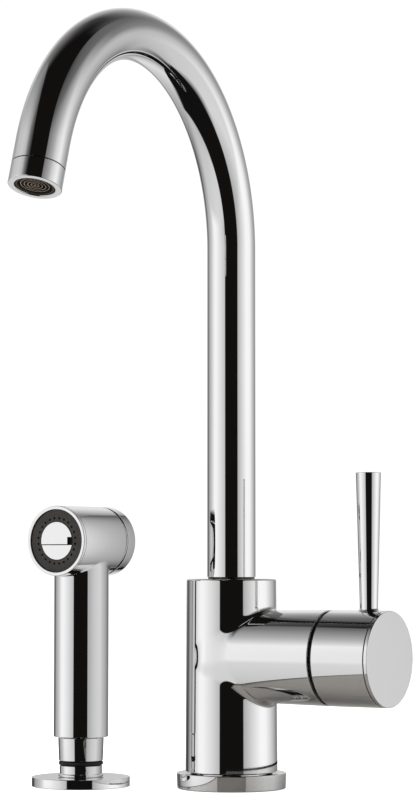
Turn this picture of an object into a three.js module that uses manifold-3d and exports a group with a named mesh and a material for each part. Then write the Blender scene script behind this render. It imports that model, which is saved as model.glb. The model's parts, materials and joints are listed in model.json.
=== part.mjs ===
// Single-lever kitchen mixer with a swivelling gooseneck spout, and the hand spray that stands beside it.
// Millimetres, +Z up, counter top at z = 0. The mixer stands on the origin, its valve arm runs along +X
// and the front is -Y.
import * as THREE from "three";
import { mergeVertices } from "three/addons/utils/BufferGeometryUtils.js";
import Module from "manifold-3d";

const wasm = await Module();
wasm.setup();

// ---- driving dimensions ----
const GAP = 0.3; // clearance between neighbouring pieces
const ROUND = 28; // facets round a large outer surface
const HIDDEN_ROUND = 20; // facets round a piece inside
const SMALL_ROUND = 12; // facets round a small one

const FLANGE_RADIUS = 29.8;
const FLANGE_HEIGHT = 8.4;
const BODY_FOOT = 8.9; // where the body starts above the base ring
const BODY_RADIUS = 25;
const BODY_TOP_RADIUS = 24.4;
const BODY_TOP = 112.9;
const SPIGOT_RADIUS = 22; // the part of the body that stands inside the base ring
const SOCKET_OFFSET = 11.5; // hot and cold hose sockets from the middle of the body
const STUD_OFFSET = 13.5; // fixing stud hole, and the hand spray's socket opposite it
const SOCKET_RADIUS = 5;
const SOCKET_DEPTH = 14;
const STUD_RADIUS = 3.4;
const FEED_RADIUS = 3; // upright waterways
const PORT_RADIUS = 2.6; // crossing waterways
const SEAL_RECESS = 1.8; // depth of the gasket groove under each flange

const ARM_HEIGHT = 71.2;
const ARM_ROOT_RADIUS = 24.6; // the arm opens out slightly from the body to its end
const ARM_RADIUS = 25.4;
const ARM_END = 62.3;
const CHAMBER_RADIUS = 19.3;
const CHAMBER_FLOOR = 14;
const PIVOT = 46.3; // where the cartridge's spindle tilts
const DOME_RADIUS = 30;
const DOME_RIM = 23.9; // floor of the dark groove between arm and handle
const DOME_MOUTH = 15.2;

const HANDLE_END = 98;
const CAP_THICKNESS = 2;
const HANDLE_SEAT_RADIUS = 30.4;
const HANDLE_BORE = 21.5;
const LEVER_AT = 85.5;
const LEVER_TOP = 169.3;
const LEVER_TOP_RADIUS = 6.65;
const LEVER_ROOT_RADIUS = 4.75;
const SPINDLE_WIDTH = 8;
const SPINDLE_END = 90;
const WEB_START = 78; // the solid end of the barrel

const TUBE_RADIUS = 13.2;
const TUBE_BORE = 11.75;
const TUBE_FOOT = 114;
const ARC_HEIGHT = 293.3;
const ARC_RADIUS = 99.8;
const ARC_ANGLE = THREE.MathUtils.degToRad(162.4);
const OUTLET_LENGTH = 23.3; // from the end of the bend to the outlet's face
const COLLAR_LENGTH = 10.5;
const SPOUT_TURN = THREE.MathUtils.degToRad(4.4); // the spout stands slightly towards the handle
const SPOUT_BORE = 11;
const SPOUT_BORE_FLOOR = 84;
const SET_SCREW_HEIGHT = 100;

const SPRAY_X = -75.8;
const SPRAY_Y = -34.3;
const HOLDER_RADIUS = 26.9;
const HOLDER_HEIGHT = 5.2;
const STEM_RADIUS = 14.95;
const STEM_FOOT = 26.8;
const STEM_BORE = 9.3;
const HEAD_HEIGHT = 133.6;
const HEAD_RADIUS = 19;
const HEAD_FRONT = 24;
const HEAD_BACK = -26.4;
const GROOVE_FRONT = -16;
const GROOVE_BACK = -17.8;
const NOZZLES = 24;
const NOZZLE_CIRCLE = 12.4;

// ---- materials ----
const chrome = new THREE.MeshStandardMaterial({ color: 0xdfe1e3, roughness: 0.05, metalness: 1 });
const brass = new THREE.MeshStandardMaterial({ color: 0xc2a15a, roughness: 0.35, metalness: 1 });
const steel = new THREE.MeshStandardMaterial({ color: 0x9a9c9e, roughness: 0.3, metalness: 1 });
const rubber = new THREE.MeshStandardMaterial({ color: 0x121212, roughness: 0.7, metalness: 0 });
const darkPlastic = new THREE.MeshStandardMaterial({ color: 0x2b2826, roughness: 0.5, metalness: 0 });
const whitePlastic = new THREE.MeshStandardMaterial({ color: 0xdedcd6, roughness: 0.5, metalness: 0 });

// ---- shape helpers ----

// A turned solid about +Z. The profile is [radius, height] points, climbing on the outside.
function turn(profile, facets = ROUND) {
  const points = profile.map(([radius, height]) => new THREE.Vector2(radius, height));
  const geometry = new THREE.LatheGeometry(points, facets);
  return geometry.rotateX(Math.PI / 2);
}

function cylinder(radius, from, to, facets = SMALL_ROUND) {
  return turn([[0, from], [radius, from], [radius, to], [0, to]], facets);
}

// A turned ring: the profile is closed back to its first point.
function turnRing(profile, facets = ROUND) {
  return turn([...profile, profile[0]], facets);
}

function ring(inner, outer, from, to, facets = ROUND) {
  return turnRing([[inner, from], [outer, from], [outer, to], [inner, to]], facets);
}

// Points of a circular arc in the profile plane, from one angle to another in degrees.
function arc(radius, from, to, steps, centre = [0, 0]) {
  const points = [];
  for (let i = 0; i <= steps; i += 1) {
    const angle = THREE.MathUtils.degToRad(from + ((to - from) * i) / steps);
    points.push([centre[0] + radius * Math.cos(angle), centre[1] + radius * Math.sin(angle)]);
  }
  return points;
}

function oRing(radius, wire, height) {
  return turnRing(arc(wire, 0, 315, 7, [radius, height]), HIDDEN_ROUND);
}

function solid(geometry) {
  const bare = geometry.clone();
  bare.deleteAttribute("normal");
  bare.deleteAttribute("uv");
  const merged = mergeVertices(bare, 1e-4);
  const index = merged.index.array;
  const triVerts = [];
  for (let i = 0; i < index.length; i += 3) {
    const [a, b, c] = [index[i], index[i + 1], index[i + 2]];
    if (a !== b && b !== c && c !== a) {
      triVerts.push(a, b, c);
    }
  }
  const mesh = new wasm.Mesh({
    numProp: 3,
    vertProperties: Float32Array.from(merged.attributes.position.array),
    triVerts: Uint32Array.from(triVerts),
  });
  return new wasm.Manifold(mesh);
}

function surface(body) {
  const mesh = body.getMesh();
  const geometry = new THREE.BufferGeometry();
  geometry.setAttribute("position", new THREE.BufferAttribute(Float32Array.from(mesh.vertProperties), 3));
  geometry.setIndex(new THREE.BufferAttribute(Uint32Array.from(mesh.triVerts), 1));
  geometry.computeVertexNormals();
  return geometry;
}

// Cuts every tool from the blank.
function cut(blank, tools) {
  let body = solid(blank);
  for (const tool of tools) {
    body = body.subtract(solid(tool));
  }
  return surface(body);
}

// Turns a solid made about +Z so that it lies along +X.
function layAlongX(geometry) {
  return geometry.rotateY(Math.PI / 2);
}

// Turns a solid made about +Z so that it lies along +Y.
function layAlongY(geometry) {
  return geometry.rotateX(-Math.PI / 2);
}

function named(name, geometry, material) {
  const mesh = new THREE.Mesh(geometry, material);
  mesh.name = name;
  return mesh;
}

// ---- base and body ----

function baseFlange() {
  const bore = SPIGOT_RADIUS + GAP;
  return turnRing([
    [bore, 0], [23.7, 0], [23.7, SEAL_RECESS], [27.3, SEAL_RECESS], [27.3, 0], [FLANGE_RADIUS - 0.3, 0],
    [FLANGE_RADIUS, 0.3], [FLANGE_RADIUS, FLANGE_HEIGHT - 0.7], [FLANGE_RADIUS - 0.7, FLANGE_HEIGHT],
    [bore, FLANGE_HEIGHT],
  ]);
}

function bodyCasting() {
  const edge = 1.2;
  const column = turn([
    [0, 0], [SPIGOT_RADIUS, 0], [SPIGOT_RADIUS, BODY_FOOT], [BODY_RADIUS - 0.3, BODY_FOOT],
    [BODY_RADIUS, BODY_FOOT + 0.3], [BODY_TOP_RADIUS, BODY_TOP - edge],
    ...arc(edge, 22, 90, 3, [BODY_TOP_RADIUS - edge, BODY_TOP - edge]), [0, BODY_TOP],
  ]);
  const arm = layAlongX(turn([
    [0, 0], [ARM_ROOT_RADIUS, 0], [ARM_RADIUS, ARM_END - 0.3], [ARM_RADIUS - 0.3, ARM_END], [0, ARM_END],
  ])).translate(0, 0, ARM_HEIGHT);
  const blank = surface(solid(column).add(solid(arm)));

  const chamber = layAlongX(cylinder(CHAMBER_RADIUS, CHAMBER_FLOOR, ARM_END + 5, ROUND));
  chamber.translate(0, 0, ARM_HEIGHT);
  const tools = [chamber, cylinder(SPOUT_BORE, SPOUT_BORE_FLOOR, BODY_TOP + 5, HIDDEN_ROUND)];
  tools.push(layAlongY(cylinder(2.2, 5, 30)).translate(0, 0, SET_SCREW_HEIGHT));

  // Hot and cold come up from their sockets and turn into the cartridge chamber's floor.
  const below = -2;
  const portEnd = CHAMBER_FLOOR + 2;
  const feedHeight = ARM_HEIGHT - 5;
  for (const side of [-1, 1]) {
    const at = side * SOCKET_OFFSET;
    tools.push(cylinder(SOCKET_RADIUS, below, SOCKET_DEPTH).translate(0, at, 0));
    tools.push(cylinder(FEED_RADIUS, SOCKET_DEPTH - 4, feedHeight).translate(0, at, 0));
    tools.push(layAlongX(cylinder(PORT_RADIUS, 0, portEnd)).translate(0, at, feedHeight - PORT_RADIUS));
  }
  // Mixed water leaves by the upper port, up to the spout and down to the hand spray's socket.
  const mixedHeight = ARM_HEIGHT + 8;
  tools.push(layAlongX(cylinder(PORT_RADIUS, -SOCKET_OFFSET, portEnd)).translate(0, 0, mixedHeight));
  tools.push(cylinder(FEED_RADIUS, mixedHeight, SPOUT_BORE_FLOOR + 2).translate(5, 0, 0));
  tools.push(cylinder(FEED_RADIUS, SOCKET_DEPTH - 4, mixedHeight).translate(-STUD_OFFSET, 0, 0));
  tools.push(cylinder(SOCKET_RADIUS, below, SOCKET_DEPTH).translate(-STUD_OFFSET, 0, 0));
  // The fixing stud screws in opposite the spray's socket.
  tools.push(cylinder(STUD_RADIUS, below, SOCKET_DEPTH + 4).translate(STUD_OFFSET, 0, 0));
  return cut(blank, tools);
}

// ---- valve cartridge, built about +Z of the arm's group ----

const HOUSING_FOOT = 16.1;
const HOUSING_TOP = 38;
const ROTOR_RADIUS = 11;
const ROTOR_FOOT = 24.3;
const ROTOR_TOP = 51;
const PIN_RADIUS = 1.5;

function cartridgeHousing() {
  const bore = ROTOR_RADIUS + GAP;
  const blank = turn([
    [0, HOUSING_FOOT], [17.5, HOUSING_FOOT], [17.5, 34], [16.5, 34], [16.5, HOUSING_TOP],
    [bore, HOUSING_TOP], [bore, ROTOR_FOOT - GAP], [0, ROTOR_FOOT - GAP],
  ], HIDDEN_ROUND);
  const ports = [[5, -9], [5, 9], [-8, 0]];
  return cut(blank, ports.map(([x, y]) => cylinder(2.5, 10, 28).translate(x, y, 0)));
}

function cartridgeNut() {
  const thread = cylinder(19, 38.3, 42.5, HIDDEN_ROUND);
  const hexagon = cylinder(17.2, 42, 47, 6);
  const both = surface(solid(thread).add(solid(hexagon)));
  return cut(both, [cylinder(ROTOR_RADIUS + 0.5, 30, 60, HIDDEN_ROUND)]);
}

function cartridgeRotor() {
  const blank = cylinder(ROTOR_RADIUS, ROTOR_FOOT, ROTOR_TOP, HIDDEN_ROUND);
  const slotFoot = 28.5;
  const slotLength = ROTOR_TOP + 5 - slotFoot;
  const slot = new THREE.BoxGeometry(18.8, SPINDLE_WIDTH + 2 * GAP, slotLength);
  slot.translate(0, 0, slotFoot + slotLength / 2);
  const pinHole = layAlongY(cylinder(PIN_RADIUS + 0.1, -20, 20)).translate(0, 0, PIVOT);
  return cut(blank, [slot, pinHole]);
}

function spindle() {
  const from = PIVOT - 15;
  const bar = new THREE.BoxGeometry(SPINDLE_WIDTH, SPINDLE_WIDTH, SPINDLE_END - from);
  bar.translate(0, 0, (SPINDLE_END + from) / 2);
  const pinHole = layAlongY(cylinder(PIN_RADIUS + 0.1, -20, 20)).translate(0, 0, PIVOT);
  return cut(bar, [pinHole]);
}

// The domed cover over the cartridge: the handle's rim rides round it as the lever tilts.
function armDome() {
  const inner = DOME_RADIUS - 1.6;
  const angle = (radius, sphere) => THREE.MathUtils.radToDeg(Math.acos(radius / sphere));
  const onDome = (sphere, from, to, steps) =>
    arc(sphere, angle(from, sphere), angle(to, sphere), steps, [0, PIVOT]);
  return turnRing([
    [22, ARM_END + GAP], [DOME_RIM, ARM_END + GAP], ...onDome(DOME_RADIUS, DOME_RIM, DOME_MOUTH, 3),
    ...onDome(inner, DOME_MOUTH, 17.8, 1), [17.8, 53], [19, 53],
    ...onDome(inner, 19, 22, 2),
  ]);
}

// ---- handle, built about +Z of the arm's group; its upright direction is -X there ----

function handleBarrel() {
  const rim = ARM_RADIUS - 0.5;
  const seatAt = (radius) => THREE.MathUtils.radToDeg(Math.acos(radius / HANDLE_SEAT_RADIUS));
  const seat = arc(HANDLE_SEAT_RADIUS, seatAt(HANDLE_BORE), seatAt(rim), 2, [0, PIVOT]);
  const rimAt = seat[seat.length - 1][1];
  const end = HANDLE_END - CAP_THICKNESS - 0.4;
  const recess = 21;
  const blank = turn([
    [0, WEB_START], [HANDLE_BORE, WEB_START], ...seat,
    [ARM_RADIUS - 0.2, rimAt], [ARM_RADIUS, rimAt + 0.2], [ARM_RADIUS, end - 0.2],
    [ARM_RADIUS - 0.2, end], [recess, end], [recess, end - 2.6], [0, end - 2.6],
  ]);
  const socketWidth = SPINDLE_WIDTH + 2 * GAP;
  const socketLength = SPINDLE_END + GAP - WEB_START + 5;
  const socket = new THREE.BoxGeometry(socketWidth, socketWidth, socketLength);
  socket.translate(0, 0, SPINDLE_END + GAP - socketLength / 2);
  const leverHole = layAlongX(cylinder(3.3, -40, -18.5)).translate(0, 0, LEVER_AT);
  const grubHole = layAlongX(cylinder(2.8, 2, 40)).translate(0, 0, LEVER_AT);
  return cut(blank, [socket, leverHole, grubHole]);
}

function handleCap() {
  const back = HANDLE_END - CAP_THICKNESS;
  return turn([
    [0, back - 2.6], [20.7, back - 2.6], [20.7, back], [ARM_RADIUS - 0.2, back],
    [ARM_RADIUS, back + 0.2], [ARM_RADIUS, HANDLE_END - 0.3], [ARM_RADIUS - 0.3, HANDLE_END],
    [0, HANDLE_END],
  ]);
}

// The lever tapers down to the barrel, where its foot is cut to the barrel's round.
function leverRod() {
  const foot = ARM_RADIUS - 1.2;
  const top = LEVER_TOP - ARM_HEIGHT;
  const rod = turn([
    [0, foot], [LEVER_ROOT_RADIUS + 0.5, foot], [LEVER_ROOT_RADIUS + 0.35, ARM_RADIUS + 0.6],
    [LEVER_ROOT_RADIUS, ARM_RADIUS + 2.2], [LEVER_TOP_RADIUS, top - 0.4],
    [LEVER_TOP_RADIUS - 0.4, top], [0, top],
  ], HIDDEN_ROUND);
  const round = layAlongX(cylinder(ARM_RADIUS + GAP, -20, 20, 72));
  const trimmed = solid(rod).subtract(solid(round));
  const stub = solid(cylinder(3, ARM_RADIUS - 6.5, ARM_RADIUS + 2));
  return surface(trimmed.add(stub));
}

function grubScrew() {
  const blank = cylinder(2.5, SPINDLE_WIDTH / 2 + GAP, 17);
  return cut(blank, [cylinder(1.45, 14.5, 20, 6)]);
}

// ---- spout ----

// The tube's centre line: up, round the bend and down to the outlet collar.
class SpoutLine extends THREE.Curve {
  constructor(bendSteps, tail) {
    super();
    this.stations = bendSteps + 2;
    this.bendSteps = bendSteps;
    this.tail = tail;
  }

  bendAngle(u) {
    const step = u * this.stations - 1;
    return (ARC_ANGLE * Math.min(Math.max(step, 0), this.bendSteps)) / this.bendSteps;
  }

  getPointAt(u) {
    const angle = this.bendAngle(u);
    const direction = this.getTangentAt(u);
    const step = u * this.stations;
    const riser = Math.max(1 - step, 0) * (ARC_HEIGHT - TUBE_FOOT);
    const tail = Math.max(step - 1 - this.bendSteps, 0) * this.tail;
    const point = new THREE.Vector3(
      0, ARC_RADIUS * (Math.cos(angle) - 1), ARC_HEIGHT + ARC_RADIUS * Math.sin(angle),
    );
    return point.addScaledVector(direction, tail - riser);
  }

  getTangentAt(u) {
    const angle = this.bendAngle(u);
    return new THREE.Vector3(0, -Math.sin(angle), Math.cos(angle));
  }

  getPoint(u) {
    return this.getPointAt(u);
  }

  getSpacedPoints(divisions) {
    return this.getPoints(divisions);
  }
}

function spoutTube() {
  const section = new THREE.Shape();
  section.absarc(0, 0, TUBE_RADIUS, 0, 2 * Math.PI);
  const bore = new THREE.Path();
  bore.absarc(0, 0, TUBE_BORE, 0, 2 * Math.PI);
  section.holes.push(bore);
  const line = new SpoutLine(18, OUTLET_LENGTH - COLLAR_LENGTH - GAP);
  return new THREE.ExtrudeGeometry(section, {
    extrudePath: line, steps: line.stations, curveSegments: 12, bevelEnabled: false,
  });
}

// The brass foot soldered into the tube: two seals and a groove for the retaining screw.
function spoutFerrule() {
  const bore = 7;
  const outer = SPOUT_BORE - GAP;
  const grooves = [[93.5, 8.75], [SET_SCREW_HEIGHT, 9.2], [106.5, 8.75]];
  const profile = [[bore, 86.5], [outer, 86.5]];
  for (const [height, floor] of grooves) {
    profile.push([outer, height - 1.3], [floor, height - 1.3], [floor, height + 1.3], [outer, height + 1.3]);
  }
  profile.push([outer, TUBE_FOOT], [TUBE_BORE - GAP, TUBE_FOOT], [TUBE_BORE - GAP, 128], [bore, 128]);
  return turnRing(profile, HIDDEN_ROUND);
}

// Its narrow point runs in the ferrule's middle groove.
function setScrew() {
  const point = 1;
  const shank = 1.9;
  const blank = turn([[0, 9.6], [point, 9.6], [point, 11.4], [shank, 11.4], [shank, 20], [0, 20]], SMALL_ROUND);
  return cut(blank, [cylinder(1.1, 17.5, 25, 6)]);
}

// Lies between the body's top and the tube's foot, and shows as a fine dark line.
function slipRing() {
  return ring(SPOUT_BORE + 0.1, TUBE_RADIUS - 0.4, BODY_TOP + 0.1, TUBE_FOOT - 0.1, HIDDEN_ROUND);
}

function outletCollar() {
  const from = OUTLET_LENGTH - COLLAR_LENGTH;
  return turnRing([
    [11.7, from], [TUBE_RADIUS, from], [TUBE_RADIUS, OUTLET_LENGTH - 0.5],
    [TUBE_RADIUS - 0.5, OUTLET_LENGTH], [9.95, OUTLET_LENGTH], [9.95, OUTLET_LENGTH - 1.3],
    [11.7, OUTLET_LENGTH - 1.3],
  ]);
}

// The jet former: rings round a small hub, with keys for the spanner at its edge.
function aerator() {
  const back = OUTLET_LENGTH - 5.2;
  const shoulder = OUTLET_LENGTH - 1.6;
  const face = OUTLET_LENGTH - 0.5;
  const flange = 11.3;
  const nose = 9.6;
  const blank = turn([
    [0, back], [flange, back], [flange, shoulder], [nose, shoulder], [nose, face], [0, face],
  ], HIDDEN_ROUND);
  const tools = [];
  for (const radius of [2.2, 4.1, 6]) {
    tools.push(ring(radius - 0.55, radius + 0.55, face - 1.5, face + 1, 20));
  }
  for (const angle of [0, 1, 2, 3]) {
    const key = new THREE.BoxGeometry(2.2, 1.8, 4).translate(nose, 0, face);
    tools.push(key.rotateZ((angle * Math.PI) / 2 + 0.6));
  }
  return cut(blank, tools);
}

// ---- hand spray ----

function holderFlange() {
  const bore = 11.9;
  return turnRing([
    [bore, 0], [21, 0], [21, SEAL_RECESS], [24.6, SEAL_RECESS], [24.6, 0],
    [HOLDER_RADIUS - 0.2, 0], [HOLDER_RADIUS, 0.2],
    [HOLDER_RADIUS, HOLDER_HEIGHT - 0.6], [HOLDER_RADIUS - 0.6, HOLDER_HEIGHT], [bore, HOLDER_HEIGHT],
  ]);
}

function holderCollar() {
  return turnRing([
    [9.4, 0.6], [11.6, 0.6], [11.6, HOLDER_HEIGHT + GAP], [12.4, HOLDER_HEIGHT + GAP],
    [12.4, 6.4], [11.6, 6.6], [11.7, 11.2], [9.4, 11.2],
  ], HIDDEN_ROUND);
}

function holderBush() {
  const bore = 7.7;
  return turnRing([
    [bore, 1.2], [9.1, 1.2], [9.1, 11.5], [12.1, 11.5], [12.1, 13.6], [bore, 13.6],
  ], HIDDEN_ROUND);
}

function hoseNut() {
  const bore = 5.3;
  return turnRing([
    [bore, 3.2], [7.4, 3.2], [7.4, 13.9], [12.05, 13.9], [12.5, 26.3], [9, 26.3], [9, 33], [bore, 33],
  ], HIDDEN_ROUND);
}

function sprayBody() {
  const stem = turn([
    [0, STEM_FOOT], [STEM_RADIUS - 0.4, STEM_FOOT], [STEM_RADIUS, STEM_FOOT + 0.4],
    [STEM_RADIUS, HEAD_HEIGHT], [0, HEAD_HEIGHT],
  ]).translate(SPRAY_X, SPRAY_Y, 0);
  const toHead = new THREE.Matrix4().makeRotationX(Math.PI / 2).setPosition(SPRAY_X, SPRAY_Y, HEAD_HEIGHT);
  const front = HEAD_FRONT - 2;
  const head = turn([
    [0, GROOVE_FRONT], [HEAD_RADIUS - 0.3, GROOVE_FRONT], [HEAD_RADIUS, GROOVE_FRONT + 0.3],
    [HEAD_RADIUS, front], [0, front],
  ]).applyMatrix4(toHead);
  const blank = surface(solid(stem).add(solid(head)));
  return cut(blank, [
    cylinder(STEM_BORE, STEM_FOOT - 5, HEAD_HEIGHT, HIDDEN_ROUND).translate(SPRAY_X, SPRAY_Y, 0),
    cylinder(16.6, GROOVE_FRONT - 5, -5, HIDDEN_ROUND).applyMatrix4(toHead),
    cylinder(12, -6, 9, HIDDEN_ROUND).applyMatrix4(toHead),
    cylinder(17.3, 8, front + 5, ROUND).applyMatrix4(toHead),
  ]);
}

function sprayRim() {
  const back = HEAD_FRONT - 2 + GAP;
  return turnRing([
    [17.2, back], [HEAD_RADIUS, back], ...arc(1.2, 0, 90, 3, [HEAD_RADIUS - 1.2, HEAD_FRONT - 1.2]),
    [17.2, HEAD_FRONT],
  ]);
}

function nozzlePlate() {
  const blank = ring(10.6, 16.9, HEAD_FRONT - 3.5, HEAD_FRONT - 0.8);
  const tools = [];
  for (let i = 0; i < NOZZLES; i += 1) {
    const hole = cylinder(0.7, HEAD_FRONT - 6, HEAD_FRONT + 1, 6).translate(NOZZLE_CIRCLE, 0, 0);
    tools.push(hole.rotateZ((2 * Math.PI * (i + 0.5)) / NOZZLES));
  }
  return cut(blank, tools);
}

// The middle of the face: its lower part is set back a little, with a notch at one end of the step.
function centreDisc() {
  const face = HEAD_FRONT - 0.5;
  const blank = cylinder(10.2, face - 2.8, face, 36);
  const step = new THREE.BoxGeometry(30, 20, 2).translate(0, -12, face + 0.7);
  const notch = new THREE.BoxGeometry(8, 4.3, 4).translate(11.2, -0.1, face);
  return cut(blank, [step, notch]);
}

function valveSeat() {
  return turnRing([
    [3.2, -4.7], [11.7, -4.7], [11.7, -2.5], [7, -2.5], [7, 4], [11.7, 4], [11.7, 7.5], [3.2, 7.5],
  ], HIDDEN_ROUND);
}

function buttonPlunger() {
  return turn([
    [0, -14], [2.9, -14], [2.9, 7.7], [1.5, 7.7], [1.5, 9.8], [2.9, 9.8], [2.9, 11], [0, 11],
  ]);
}

function sprayButton() {
  const chamfer = 1.6;
  return turn([
    [0, HEAD_BACK], [HEAD_RADIUS - chamfer, HEAD_BACK], [HEAD_RADIUS - 0.25, HEAD_BACK + chamfer],
    [HEAD_RADIUS, HEAD_BACK + chamfer + 0.6], [HEAD_RADIUS, GROOVE_BACK - 0.3],
    [HEAD_RADIUS - 0.3, GROOVE_BACK], [16.2, GROOVE_BACK], [16.2, -9.5], [14.5, -9.5], [14.5, -23],
    [4, -23], [4, -14 - GAP], [0, -14 - GAP],
  ]);
}

class Helix extends THREE.Curve {
  constructor(radius, turns, from, to) {
    super();
    Object.assign(this, { radius, turns, from, to });
  }

  getPoint(t) {
    const angle = 2 * Math.PI * this.turns * t;
    const height = this.from + (this.to - this.from) * t;
    return new THREE.Vector3(this.radius * Math.cos(angle), this.radius * Math.sin(angle), height);
  }
}

function buttonSpring() {
  const wire = new THREE.Shape();
  wire.absarc(0, 0, 0.6, 0, 2 * Math.PI);
  return new THREE.ExtrudeGeometry(wire, {
    extrudePath: new Helix(13.3, 4, -6, -20.4), steps: 56, curveSegments: 3, bevelEnabled: false,
  });
}

// ---- assembly ----

const faucet = new THREE.Group();
faucet.add(
  named("base_flange", baseFlange(), chrome),
  named("base_gasket", ring(24, 27, 0, 1.5), rubber),
  named("mixer_body", bodyCasting(), chrome),
);

const setScrewMesh = named("spout_set_screw", setScrew(), steel);
setScrewMesh.rotation.x = -Math.PI / 2;
setScrewMesh.position.z = SET_SCREW_HEIGHT;
faucet.add(setScrewMesh);

const arm = new THREE.Group();
arm.rotation.y = Math.PI / 2;
arm.position.z = ARM_HEIGHT;
arm.add(
  named("cartridge_gasket", ring(13.5, 17, CHAMBER_FLOOR + 0.2, HOUSING_FOOT - 0.2, HIDDEN_ROUND), rubber),
  named("cartridge_housing", cartridgeHousing(), whitePlastic),
  named("cartridge_nut", cartridgeNut(), brass),
  named("arm_dome", armDome(), chrome),
  named("cartridge_rotor", cartridgeRotor(), whitePlastic),
  named("pivot_pin", layAlongY(cylinder(PIN_RADIUS, -10.4, 10.4)).translate(0, 0, PIVOT), steel),
  named("spindle", spindle(), steel),
  named("handle_barrel", handleBarrel(), chrome),
  named("handle_cap", handleCap(), chrome),
);

const lever = named("lever_rod", leverRod(), chrome);
lever.rotation.y = -Math.PI / 2;
lever.position.z = LEVER_AT;
const grub = named("handle_grub_screw", grubScrew(), steel);
grub.rotation.y = Math.PI / 2;
grub.position.z = LEVER_AT;
const cover = named("grub_screw_cover", cylinder(2.5, 22.2, 24.9), whitePlastic);
cover.rotation.y = Math.PI / 2;
cover.position.z = LEVER_AT;
arm.add(lever, grub, cover);
faucet.add(arm);

const spout = new THREE.Group();
spout.rotation.z = SPOUT_TURN;
spout.add(
  named("spout_tube", spoutTube(), chrome),
  named("spout_ferrule", spoutFerrule(), brass),
  named("spout_seal_lower", oRing(9.85, 0.95, 93.5), rubber),
  named("spout_seal_upper", oRing(9.85, 0.95, 106.5), rubber),
  named("spout_slip_ring", slipRing(), darkPlastic),
);

const outlet = new THREE.Group();
outlet.position.set(0, ARC_RADIUS * (Math.cos(ARC_ANGLE) - 1), ARC_HEIGHT + ARC_RADIUS * Math.sin(ARC_ANGLE));
outlet.rotation.x = ARC_ANGLE;
const washerFrom = OUTLET_LENGTH - 6.5;
outlet.add(
  named("outlet_insert", ring(9.4, TUBE_BORE - GAP, 1, washerFrom - 0.2, HIDDEN_ROUND), brass),
  named("outlet_collar", outletCollar(), chrome),
  named("aerator_washer", ring(8.6, 11.2, washerFrom, washerFrom + 1.1, HIDDEN_ROUND), rubber),
  named("aerator", aerator(), darkPlastic),
);
spout.add(outlet);
faucet.add(spout);

const spray = new THREE.Group();
spray.position.set(SPRAY_X, SPRAY_Y, 0);
spray.add(
  named("holder_flange", holderFlange(), chrome),
  named("holder_gasket", ring(21.3, 24.3, 0, 1.5, HIDDEN_ROUND), rubber),
  named("holder_collar", holderCollar(), chrome),
  named("holder_bush", holderBush(), rubber),
  named("hose_nut", hoseNut(), chrome),
  named("hose_gland", ring(3, 5, 1, 24, 20), rubber),
);

const head = new THREE.Group();
head.rotation.x = Math.PI / 2;
head.position.z = HEAD_HEIGHT;
head.add(
  named("spray_rim", sprayRim(), chrome),
  named("nozzle_plate", nozzlePlate(), darkPlastic),
  named("centre_disc", centreDisc(), chrome),
  named("valve_seat", valveSeat(), whitePlastic),
  named("valve_disc", ring(1.8, 5.5, 8, 9.5, 20), rubber),
  named("button_plunger", buttonPlunger(), steel),
  named("button_spring", buttonSpring(), steel),
  named("spray_button", sprayButton(), chrome),
);
spray.add(head);
faucet.add(spray);
faucet.add(named("spray_body", sprayBody(), chrome));

export default faucet;
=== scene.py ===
import json
from math import asin, cos, hypot, pi, radians, sin, sqrt, tau

import bmesh
import bpy
import numpy as np
from mathutils import Matrix, Vector


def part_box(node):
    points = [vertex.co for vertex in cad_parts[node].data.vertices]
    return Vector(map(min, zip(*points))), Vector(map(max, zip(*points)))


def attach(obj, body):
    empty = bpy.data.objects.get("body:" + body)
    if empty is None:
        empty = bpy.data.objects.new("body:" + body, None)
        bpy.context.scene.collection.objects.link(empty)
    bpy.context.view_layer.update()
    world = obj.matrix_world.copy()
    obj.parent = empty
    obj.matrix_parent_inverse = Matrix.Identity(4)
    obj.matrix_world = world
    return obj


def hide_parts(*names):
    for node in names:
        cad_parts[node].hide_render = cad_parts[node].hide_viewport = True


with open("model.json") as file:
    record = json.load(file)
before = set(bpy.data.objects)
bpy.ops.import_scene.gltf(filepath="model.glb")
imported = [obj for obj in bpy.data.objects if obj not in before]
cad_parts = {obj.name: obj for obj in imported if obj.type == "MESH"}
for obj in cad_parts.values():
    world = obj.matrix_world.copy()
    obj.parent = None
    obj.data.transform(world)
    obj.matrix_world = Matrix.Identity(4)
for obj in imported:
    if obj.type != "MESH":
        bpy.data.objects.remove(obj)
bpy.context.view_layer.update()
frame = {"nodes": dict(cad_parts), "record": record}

# ---------------------------------------------------------------------------------------------------
# Camera: a long lens a little above the height of the mixer's body. It stands well to the handle's
# side of the front and looks up slightly, with the spout's outlet to the left.
# ---------------------------------------------------------------------------------------------------
CAMERA_DISTANCE = 1.370
CAMERA_HEIGHT = 0.1216
CAMERA_SIDE = radians(32.2)
CAMERA_HEADING = radians(32.7)
CAMERA_RISE = radians(3.72)
FOCAL_LENGTH = 112.8

lens = bpy.data.cameras.new("studio_camera")
lens.lens = FOCAL_LENGTH
lens.sensor_width = 36
lens.clip_start = 0.01
camera = bpy.data.objects.new("studio_camera", lens)
camera.location = (CAMERA_DISTANCE * sin(CAMERA_SIDE), -CAMERA_DISTANCE * cos(CAMERA_SIDE), CAMERA_HEIGHT)
camera.rotation_euler = (pi / 2 + CAMERA_RISE, 0, CAMERA_HEADING)
bpy.context.collection.objects.link(camera)
bpy.context.scene.camera = camera
bpy.context.scene.view_settings.view_transform = "Standard"

# ---------------------------------------------------------------------------------------------------
# Studio: white cloths on both sides, a black one behind the camera and a dim ceiling. Polished chrome
# shows hardly anything but these, so they are laid out by the direction they stand in.
# ---------------------------------------------------------------------------------------------------


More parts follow.
